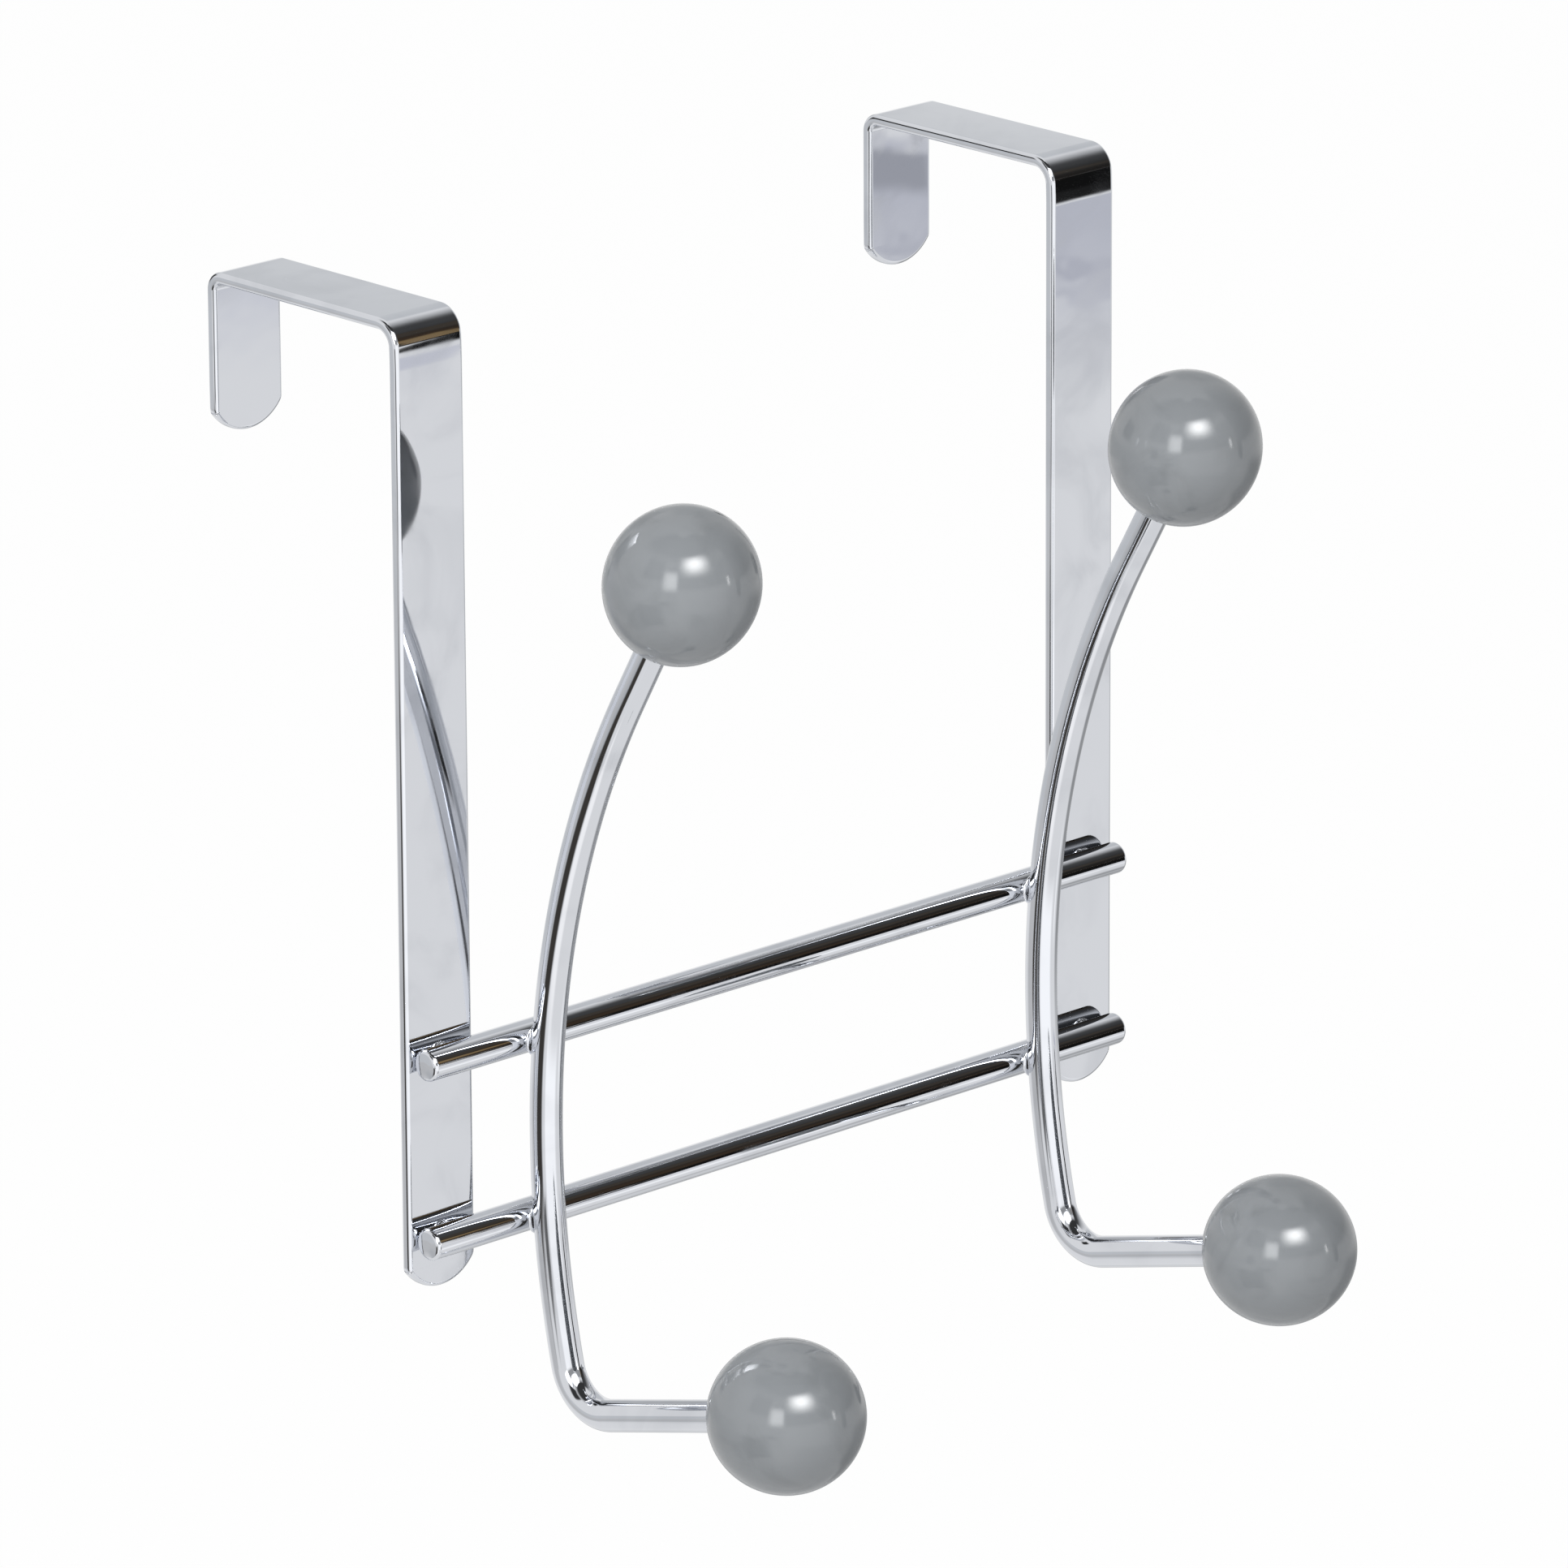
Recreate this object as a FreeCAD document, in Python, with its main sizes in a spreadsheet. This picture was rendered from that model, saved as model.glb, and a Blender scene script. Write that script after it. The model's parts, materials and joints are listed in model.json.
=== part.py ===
import FreeCAD, Part
import math
import os
import Sketcher
from FreeCAD import Vector

# Over-door rack: two folded strips hang on the top edge of a door, two round rails are
# welded across them, and two bent wire hooks with a ball on each end are welded to the rails.
# X runs along the rails, the front of the door faces -Y and Z is up. The origin is on the
# front top edge of the door, midway between the strips.

# Driving sizes in millimetres and degrees
SIZES = {
    # Folded strips
    "strap_spacing": 163.0,
    "strap_width": 16.0,
    "strap_thick": 2.2,
    "door_gap": 46.5,
    "leg_past_rail": 10.0,
    "back_leg": 28.5,
    "front_bend": 3.0,
    "back_bend": 1.4,
    "tip_radius": 9.5,
    "strap_round": 0.5,
    # Rails
    "rail_dia": 6.0,
    "rail_length": 176.0,
    "upper_rail_drop": 135.5,
    "rail_pitch": 34.0,
    "rail_chamfer": 0.7,
    # Hook wires
    "wire_dia": 6.0,
    "hook_spacing": 126.0,
    "stem_rise": 110.6,
    "stem_straight": 28.0,
    "stem_bow": 173.0,
    "foot_drop": 43.6,
    "foot_bow": 190.0,
    "foot_bend": 9.3,
    "arm_rise": 14.7,
    "arm_reach": 62.6,
    # Welds
    "hook_sink": 0.3,
    "nugget_wide": 5.4,
    "nugget_thick": 2.4,
    "flash_wide": 7.4,
    "flash_thick": 2.2,
    # Balls
    "ball_dia": 28.2,
    "ball_length": 29.4,
    "ball_flat": 8.0,
    "bore_clear": 0.05,
}

# Sizes that follow from the ones above, as formulas on the sheet. The waist is the point of a
# hook's wire midway between the rails, and the bow sets it back from the fronts of the rails.
FOLLOWING = {
    "lower_rail_drop": "=upper_rail_drop + rail_pitch",
    "front_leg": "=lower_rail_drop + leg_past_rail",
    "rail_out": "=strap_thick + rail_dia / 2",
    "rail_front": "=strap_thick + rail_dia",
    "waist_drop": "=upper_rail_drop + rail_pitch / 2",
    "bow_at_rail": "=stem_bow - sqrt(stem_bow ^ 2 - (rail_pitch / 2) ^ 2)",
    "waist_out": "=rail_front + wire_dia / 2 - hook_sink - bow_at_rail",
}
OVERCUT = 1.0


def make_sheet(doc):
    """Put every size in the spreadsheet under its own name."""
    sheet = doc.addObject("Spreadsheet::Sheet", "Sizes")
    for row, (name, value) in enumerate({**SIZES, **FOLLOWING}.items(), start=1):
        sheet.set(f"A{row}", name)
        sheet.set(f"B{row}", str(value))
        sheet.setAlias(f"B{row}", name)
    doc.recompute()
    return sheet


def new_body(doc, label):
    body = doc.addObject("PartDesign::Body", label)
    body.Label = label
    return body


def new_sketch(body, name, plane):
    """Start a sketch on one of the body's own origin planes."""
    sketch = body.newObject("Sketcher::SketchObject", name)
    origin_plane = [item for item in body.Origin.OriginFeatures if item.Role == plane][0]
    sketch.AttachmentSupport = [(origin_plane, "")]
    sketch.MapMode = "FlatFace"
    return sketch


def bind(sketch, expression, *constraint):
    """Add a dimension to a sketch and tie it to the sheet."""
    index = sketch.addConstraint(Sketcher.Constraint(*constraint))
    sketch.setExpression(f"Constraints[{index}]", expression)


def relate(sketch, *constraints):
    """Add geometric constraints to a sketch."""
    for constraint in constraints:
        sketch.addConstraint(Sketcher.Constraint(*constraint))


def line(sketch, start, end):
    segment = Part.LineSegment(Vector(*start, 0), Vector(*end, 0))
    return sketch.addGeometry(segment, False)


def arc(sketch, centre, radius, first_deg, last_deg):
    """Add an arc that runs anticlockwise from the first angle to the last."""
    circle = Part.Circle(Vector(*centre, 0), Vector(0, 0, 1), radius)
    piece = Part.ArcOfCircle(circle, math.radians(first_deg), math.radians(last_deg))
    return sketch.addGeometry(piece, False)


def cut_away(body, name, sketch, length):
    """Pocket a sketch to both sides of its plane and make sure that it removed material."""
    before = body.Shape.Volume
    pocket = body.newObject("PartDesign::Pocket", name)
    pocket.Profile = sketch
    pocket.SideType = "Symmetric"
    pocket.setExpression("Length", length)
    body.Document.recompute()
    if not body.Shape.Volume < before:
        raise RuntimeError(f"{name} of {body.Label} removed nothing")
    return pocket


def strap_profile(body, sheet):
    """Draw the folded strip from the side: front leg, bridge over the door, back leg."""
    thick, gap = sheet.strap_thick, sheet.door_gap
    front, back = sheet.front_leg, sheet.back_leg
    bend_f, bend_b = sheet.front_bend, sheet.back_bend
    sketch = new_sketch(body, "Fold", "YZ_Plane")
    # The side toward the door
    in_front = line(sketch, (0, -front), (0, -bend_f))
    in_bend_f = arc(sketch, (bend_f, -bend_f), bend_f, 90, 180)
    in_bridge = line(sketch, (bend_f, 0), (gap - bend_b, 0))
    in_bend_b = arc(sketch, (gap - bend_b, -bend_b), bend_b, 0, 90)
    in_back = line(sketch, (gap, -bend_b), (gap, -back))
    back_end = line(sketch, (gap, -back), (gap + thick, -back))
    # The outer side, back to the start
    out_back = line(sketch, (gap + thick, -back), (gap + thick, -bend_b))
    out_bend_b = arc(sketch, (gap - bend_b, -bend_b), bend_b + thick, 0, 90)
    out_bridge = line(sketch, (gap - bend_b, thick), (bend_f, thick))
    out_bend_f = arc(sketch, (bend_f, -bend_f), bend_f + thick, 90, 180)
    out_front = line(sketch, (-thick, -bend_f), (-thick, -front))
    front_end = line(sketch, (-thick, -front), (0, -front))
    relate(
        sketch,
        ("Tangent", in_front, 2, in_bend_f, 2),
        ("Tangent", in_bend_f, 1, in_bridge, 1),
        ("Tangent", in_bridge, 2, in_bend_b, 2),
        ("Tangent", in_bend_b, 1, in_back, 1),
        ("Coincident", in_back, 2, back_end, 1),
        ("Coincident", back_end, 2, out_back, 1),
        ("Tangent", out_back, 2, out_bend_b, 1),
        ("Tangent", out_bend_b, 2, out_bridge, 1),
        ("Tangent", out_bridge, 2, out_bend_f, 1),
        ("Tangent", out_bend_f, 2, out_front, 1),
        ("Coincident", out_front, 2, front_end, 1),
        ("Coincident", front_end, 2, in_front, 1),
        ("Vertical", in_front),
        ("Horizontal", in_bridge),
        ("Vertical", in_back),
        ("Vertical", out_back),
        ("Vertical", out_front),
        ("Horizontal", back_end),
        ("Horizontal", front_end),
        ("Coincident", in_bend_f, 3, out_bend_f, 3),
        ("Coincident", in_bend_b, 3, out_bend_b, 3),
        ("PointOnObject", in_front, 1, -2),
        ("PointOnObject", in_bridge, 1, -1),
    )
    bind(sketch, "Sizes.front_bend", "Radius", in_bend_f, bend_f)
    bind(sketch, "Sizes.back_bend", "Radius", in_bend_b, bend_b)
    bind(sketch, "Sizes.strap_thick", "DistanceX", front_end, 1, front_end, 2, thick)
    bind(sketch, "Sizes.strap_thick", "DistanceX", back_end, 1, back_end, 2, thick)
    bind(sketch, "Sizes.door_gap", "DistanceX", -1, 1, in_back, 2, gap)
    bind(sketch, "Sizes.front_leg", "DistanceY", in_front, 1, -1, 1, front)
    bind(sketch, "Sizes.back_leg", "DistanceY", in_back, 2, -1, 1, back)
    return sketch


def round_leg_end(body, sheet, name, leg, along):
    """Cut a leg's square end to the shallow arc that the strip was punched to."""
    radius, drop = sheet.tip_radius, sheet.get(leg)
    level = radius - drop
    sketch = new_sketch(body, name, "XZ_Plane")
    tip = arc(sketch, (0, level), radius, 180, 360)
    right = line(sketch, (radius, level), (radius, -drop - OVERCUT))
    under = line(sketch, (radius, -drop - OVERCUT), (-radius, -drop - OVERCUT))
    left = line(sketch, (-radius, -drop - OVERCUT), (-radius, level))
    relate(
        sketch,
        ("Coincident", tip, 2, right, 1),
        ("Coincident", right, 2, under, 1),
        ("Coincident", under, 2, left, 1),
        ("Coincident", left, 2, tip, 1),
        ("Vertical", right),
        ("Horizontal", under),
        ("Vertical", left),
        ("Horizontal", tip, 1, tip, 2),
        ("Symmetric", tip, 1, tip, 2, tip, 3),
        ("PointOnObject", tip, 3, -2),
    )
    bind(sketch, "Sizes.tip_radius", "Radius", tip, radius)
    bind(sketch, f"Sizes.{leg} - Sizes.tip_radius", "DistanceY", tip, 3, -1, 1, -level)
    bind(sketch, f"Sizes.{leg} + {OVERCUT}", "DistanceY", under, 1, -1, 1, drop + OVERCUT)
    sketch.setExpression("AttachmentOffset.Base.z", along)
    cut_away(body, f"{name}Cut", sketch, f"Sizes.strap_thick + {OVERCUT}")


def is_crease(edge, shape):
    """Tell an edge where two faces meet at an angle from a smooth seam."""
    faces = shape.ancestorsOfType(edge, Part.Face)
    if len(faces) != 2:
        return False
    middle = edge.valueAt((edge.FirstParameter + edge.LastParameter) / 2)
    normals = [face.normalAt(*face.Surface.parameter(middle)) for face in faces]
    return abs(normals[0].dot(normals[1])) < 0.99


def ease_edges(body, radius):
    """Round every crease of the strip, as tumbling does before plating."""
    base = body.Tip
    creases = [f"Edge{number}" for number, edge in enumerate(base.Shape.Edges, start=1)
               if is_crease(edge, base.Shape)]
    fillet = body.newObject("PartDesign::Fillet", "EasedEdges")
    fillet.Base = (base, creases)
    fillet.setExpression("Radius", radius)
    body.Document.recompute()


def revolve(body, name, sketch, axis):
    """Turn a closed half profile about one of its sketch's axes."""
    turned = body.newObject("PartDesign::Revolution", name)
    turned.Profile = sketch
    turned.ReferenceAxis = (sketch, [axis])
    turned.Angle = 360
    body.Document.recompute()
    return turned


def add_weld(body, sheet, name, kind, out, drop):
    """Add a weld's round-edged button where a rail touches, square to the face of the door."""
    thick, wide = sheet.get(f"{kind}_thick"), sheet.get(f"{kind}_wide")
    edge = thick / 2
    flat = wide / 2 - edge
    sketch = new_sketch(body, f"{name}Profile", "YZ_Plane")
    foot = line(sketch, (-edge, 0), (edge, 0))
    front = line(sketch, (edge, 0), (edge, flat))
    rim = arc(sketch, (0, flat), edge, 0, 180)
    back = line(sketch, (-edge, flat), (-edge, 0))
    relate(
        sketch,
        ("Coincident", foot, 2, front, 1),
        ("Tangent", front, 2, rim, 1),
        ("Tangent", rim, 2, back, 1),
        ("Coincident", back, 2, foot, 1),
        ("Symmetric", foot, 1, foot, 2, -1, 1),
        ("PointOnObject", foot, 1, -1),
        ("Vertical", front),
    )
    bind(sketch, f"Sizes.{kind}_thick / 2", "Radius", rim, edge)
    bind(sketch, f"(Sizes.{kind}_wide - Sizes.{kind}_thick) / 2", "DistanceY", front, 1, front, 2, flat)
    sketch.setExpression("AttachmentOffset.Base.x", f"-{out}")
    sketch.setExpression("AttachmentOffset.Base.y", f"-({drop})")
    revolve(body, name, sketch, "H_Axis")


def seat_rails(body, sheet, length):
    """Cut the two rails' round sections out of what they are welded to."""
    sketch = new_sketch(body, "RailSeats", "YZ_Plane")
    radius, out = sheet.rail_dia / 2, sheet.rail_out
    for level in ("upper_rail_drop", "lower_rail_drop"):
        drop = sheet.get(level)
        circle = Part.Circle(Vector(-out, -drop, 0), Vector(0, 0, 1), radius)
        seat = sketch.addGeometry(circle, False)
        bind(sketch, "Sizes.rail_dia / 2", "Radius", seat, radius)
        bind(sketch, "Sizes.rail_out", "DistanceX", seat, 3, -1, 1, out)
        bind(sketch, f"Sizes.{level}", "DistanceY", seat, 3, -1, 1, drop)
    cut_away(body, "RailSeatCut", sketch, length)


def make_strap(doc, sheet, label, side):
    """Fold one strip and give it the two weld nuggets that hold the rails."""
    body = new_body(doc, label)
    pad = body.newObject("PartDesign::Pad", "Strip")
    pad.Profile = strap_profile(body, sheet)
    pad.SideType = "Symmetric"
    pad.setExpression("Length", "Sizes.strap_width")
    doc.recompute()
    round_leg_end(body, sheet, "FrontTip", "front_leg", "Sizes.strap_thick / 2")
    round_leg_end(body, sheet, "BackTip", "back_leg", "-(Sizes.door_gap + Sizes.strap_thick / 2)")
    ease_edges(body, "min(Sizes.strap_round; 0.4 * Sizes.strap_thick)")
    add_weld(body, sheet, "UpperNugget", "nugget", "Sizes.strap_thick", "Sizes.upper_rail_drop")
    add_weld(body, sheet, "LowerNugget", "nugget", "Sizes.strap_thick", "Sizes.lower_rail_drop")
    seat_rails(body, sheet, "Sizes.nugget_wide")
    body.setExpression("Placement.Base.x", f"{side} * Sizes.strap_spacing / 2")
    return body


def make_rail(doc, sheet, label):
    """Cut one straight bar with chamfered ends; it lies against both strips."""
    body = new_body(doc, label)
    sketch = new_sketch(body, "Section", "YZ_Plane")
    radius = sheet.rail_dia / 2
    circle = sketch.addGeometry(Part.Circle(Vector(0, 0, 0), Vector(0, 0, 1), radius), False)
    relate(sketch, ("Coincident", circle, 3, -1, 1))
    bind(sketch, "Sizes.rail_dia / 2", "Radius", circle, radius)
    pad = body.newObject("PartDesign::Pad", "Bar")
    pad.Profile = sketch
    pad.SideType = "Symmetric"
    pad.setExpression("Length", "Sizes.rail_length")
    doc.recompute()
    rims = [f"Edge{number}" for number, edge in enumerate(pad.Shape.Edges, start=1)
            if edge.Closed]
    chamfer = body.newObject("PartDesign::Chamfer", "EndChamfers")
    chamfer.Base = (pad, rims)
    chamfer.setExpression("Size", "min(Sizes.rail_chamfer; 0.3 * Sizes.rail_dia)")
    body.setExpression("Placement.Base.y", "-Sizes.rail_out")
    body.setExpression("Placement.Base.z", f"-Sizes.{label}_drop")
    return body


def wire_path(body, sheet):
    """Draw the hook's centre line: straight top, long bow, gentler bow, tight foot, arm."""
    waist = (-sheet.waist_out, -sheet.waist_drop)
    bow, foot_bow, bend = sheet.stem_bow, sheet.foot_bow, sheet.foot_bend
    rise, straight = sheet.stem_rise, sheet.stem_straight
    lean = math.asin(rise / math.hypot(bow, straight)) - math.atan(straight / bow)
    low = math.asin(sheet.foot_drop / foot_bow)
    climb = math.radians(sheet.arm_rise)
    bow_top = (waist[0] - bow * (1 - math.cos(lean)), waist[1] + bow * math.sin(lean))
    wire_top = (bow_top[0] - straight * math.sin(lean), bow_top[1] + straight * math.cos(lean))
    bend_top = (waist[0] - foot_bow * (1 - math.cos(low)), waist[1] - sheet.foot_drop)
    bend_centre = (bend_top[0] - bend * math.cos(low), bend_top[1] + bend * math.sin(low))
    arm_start = (bend_centre[0] - bend * math.sin(climb), bend_centre[1] - bend * math.cos(climb))
    arm_run = arm_start[0] - (waist[0] - sheet.arm_reach)
    arm_end = (arm_start[0] - arm_run, arm_start[1] + arm_run * math.tan(climb))

    sketch = new_sketch(body, "WirePath", "YZ_Plane")
    top = line(sketch, wire_top, bow_top)
    upper = arc(sketch, (waist[0] - bow, waist[1]), bow, 0, math.degrees(lean))
    lower = arc(sketch, (waist[0] - foot_bow, waist[1]), foot_bow, -math.degrees(low), 0)
    foot = arc(sketch, bend_centre, bend, -90 - sheet.arm_rise, -math.degrees(low))
    arm = line(sketch, arm_start, arm_end)
    relate(
        sketch,
        ("Tangent", top, 2, upper, 2),
        ("Tangent", upper, 1, lower, 2),
        ("Tangent", lower, 1, foot, 2),
        ("Tangent", foot, 1, arm, 1),
        ("Horizontal", upper, 3, upper, 1),
    )
    bind(sketch, "Sizes.stem_bow", "Radius", upper, bow)
    bind(sketch, "Sizes.foot_bow", "Radius", lower, foot_bow)
    bind(sketch, "Sizes.foot_bend", "Radius", foot, bend)
    bind(sketch, "Sizes.stem_straight", "Distance", top, straight)
    bind(sketch, "Sizes.stem_rise", "DistanceY", upper, 1, top, 1, rise)
    bind(sketch, "Sizes.foot_drop", "DistanceY", lower, 1, upper, 1, sheet.foot_drop)
    bind(sketch, "Sizes.arm_reach", "DistanceX", arm, 2, upper, 1, sheet.arm_reach)
    bind(sketch, "(180 - Sizes.arm_rise) * 1 deg", "Angle", arm, math.pi - climb)
    bind(sketch, "Sizes.waist_out", "DistanceX", upper, 1, -1, 1, -waist[0])
    bind(sketch, "Sizes.waist_drop", "DistanceY", upper, 1, -1, 1, -waist[1])
    # Measured, not driving: the balls are placed by these
    measure(sketch, "top_out", "DistanceX", top, 1, -1, 1, -wire_top[0])
    measure(sketch, "top_drop", "DistanceY", top, 1, -1, 1, -wire_top[1])
    measure(sketch, "top_run", "DistanceX", top, 1, top, 2, bow_top[0] - wire_top[0])
    measure(sketch, "top_fall", "DistanceY", top, 2, top, 1, wire_top[1] - bow_top[1])
    measure(sketch, "arm_out", "DistanceX", arm, 2, -1, 1, -arm_end[0])
    measure(sketch, "arm_drop", "DistanceY", arm, 2, -1, 1, -arm_end[1])
    return sketch


def measure(sketch, name, *constraint):
    """Add a reference dimension that reads the solved sketch."""
    index = sketch.addConstraint(Sketcher.Constraint(*constraint))
    sketch.setDriving(index, False)
    sketch.renameConstraint(index, name)


def make_hook(doc, sheet, label, side):
    """Bend one wire, add the flash of its two cross-wire welds and let the rails in."""
    body = new_body(doc, label)
    path = wire_path(body, sheet)
    doc.recompute()
    section = body.newObject("Sketcher::SketchObject", "WireSection")
    section.AttachmentSupport = [(path, "Edge1")]
    section.MapMode = "NormalToEdge"
    radius = sheet.wire_dia / 2
    circle = section.addGeometry(Part.Circle(Vector(0, 0, 0), Vector(0, 0, 1), radius), False)
    relate(section, ("Coincident", circle, 3, -1, 1))
    bind(section, "Sizes.wire_dia / 2", "Radius", circle, radius)
    doc.recompute()
    wire = body.newObject("PartDesign::AdditivePipe", "Wire")
    wire.Profile = section
    wire.Spine = path
    doc.recompute()
    add_weld(body, sheet, "UpperFlash", "flash", "Sizes.rail_front", "Sizes.upper_rail_drop")
    add_weld(body, sheet, "LowerFlash", "flash", "Sizes.rail_front", "Sizes.lower_rail_drop")
    seat_rails(body, sheet, "max(Sizes.wire_dia; Sizes.flash_wide) + 1")
    body.setExpression("Placement.Base.x", f"{side} * Sizes.hook_spacing / 2")
    return body, path


def ball_profile(body, sheet):
    """Draw half a ball's section: egg-round outside, a flat where the wire enters, its bore."""
    pole, half = sheet.ball_length / 2, sheet.ball_dia / 2
    rim, bore = sheet.ball_flat / 2, sheet.wire_dia / 2 + sheet.bore_clear
    turn = math.pi - math.asin(rim / half)
    level = pole * math.cos(turn)
    sketch = new_sketch(body, "Section", "XZ_Plane")
    ellipse = Part.Ellipse(Vector(0, pole, 0), Vector(-half, 0, 0), Vector(0, 0, 0))
    skin = sketch.addGeometry(Part.ArcOfEllipse(ellipse, 0, turn), False)
    flat = line(sketch, (-rim, level), (-bore, level))
    wall = line(sketch, (-bore, level), (-bore, 0))
    floor = line(sketch, (-bore, 0), (0, 0))
    core = line(sketch, (0, 0), (0, pole))
    sketch.exposeInternalGeometry(skin)
    long_axis, short_axis = core + 1, core + 2
    relate(
        sketch,
        ("Coincident", skin, 2, flat, 1),
        ("Coincident", flat, 2, wall, 1),
        ("Coincident", wall, 2, floor, 1),
        ("Coincident", floor, 2, core, 1),
        ("Coincident", core, 2, skin, 1),
        ("Coincident", skin, 3, -1, 1),
        ("Coincident", core, 1, -1, 1),
        ("Horizontal", flat),
        ("Vertical", wall),
        ("Horizontal", floor),
        ("Vertical", core),
        ("Vertical", long_axis),
    )
    bind(sketch, "Sizes.ball_length", "Distance", long_axis, sheet.ball_length)
    bind(sketch, "Sizes.ball_dia", "Distance", short_axis, sheet.ball_dia)
    bind(sketch, "Sizes.ball_flat / 2", "DistanceX", flat, 1, -1, 1, rim)
    bind(sketch, "Sizes.wire_dia / 2 + Sizes.bore_clear", "DistanceX", floor, 1, floor, 2, bore)
    return sketch


def make_ball(doc, sheet, label, side, out, drop, tilt):
    """Turn one ball, a little longer than wide, whose bore ends at its centre."""
    body = new_body(doc, label)
    revolve(body, "Ball", ball_profile(body, sheet), "V_Axis")
    centre = f"vector({side} * Sizes.hook_spacing / 2; -{out} / 1 mm; -{drop} / 1 mm)"
    body.setExpression("Placement", f"placement({centre}; rotation(vector(1; 0; 0); {tilt}))")
    return body


def make_all(doc, sheet):
    """Build every piece of the rack."""
    pieces = []
    for name, side in (("left", -1), ("right", 1)):
        pieces.append(make_strap(doc, sheet, f"{name}_strap", side))
    for name in ("upper", "lower"):
        pieces.append(make_rail(doc, sheet, f"{name}_rail"))
    for name, side in (("left", -1), ("right", 1)):
        hook, path = make_hook(doc, sheet, f"{name}_hook", side)
        pieces.append(hook)
        spot = f"{path.Name}.Constraints."
        lean = f"atan({spot}top_run / {spot}top_fall)"
        pieces.append(make_ball(doc, sheet, f"{name}_upper_ball", side,
                                f"{spot}top_out", f"{spot}top_drop", lean))
        pieces.append(make_ball(doc, sheet, f"{name}_lower_ball", side,
                                f"{spot}arm_out", f"{spot}arm_drop", "90 - Sizes.arm_rise"))
    doc.recompute()
    return pieces


def check(doc, pieces):
    """Stop before export if a feature failed or a piece is not one valid solid."""
    for item in doc.Objects:
        if "Invalid" in item.State or "Error" in item.State:
            raise RuntimeError(f"{item.Label} failed: {item.State}")
    for piece in pieces:
        shape = piece.Shape
        if shape.isNull() or not shape.isValid() or len(shape.Solids) != 1:
            raise RuntimeError(f"{piece.Label} is not one valid solid")


def main():
    os.makedirs("parts", exist_ok=True)
    doc = FreeCAD.newDocument("OverDoorRack")
    sheet = make_sheet(doc)
    pieces = make_all(doc, sheet)
    check(doc, pieces)
    for piece in pieces:
        piece.Shape.exportStep(f"parts/{piece.Label}.step")
        box = piece.Shape.optimalBoundingBox()
        print(f"{piece.Label}: volume {piece.Shape.Volume:.1f}, "
              f"x {box.XMin:.2f} to {box.XMax:.2f}, y {box.YMin:.2f} to {box.YMax:.2f}, "
              f"z {box.ZMin:.2f} to {box.ZMax:.2f}")


main()
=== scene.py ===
# %% [markdown]
# A chrome rack that hangs over the top of a door.
# Two folded strips carry two round rails, and two bent wire hooks with a grey ball on each end
# are welded across the rails. The measured model is loaded first as a fixed frame. Its shapes are
# right, but its surfaces are cut into long thin triangles, which polished metal would show, so
# every piece is modelled again here with clean faces, on the same place and to the same sizes.

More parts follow.
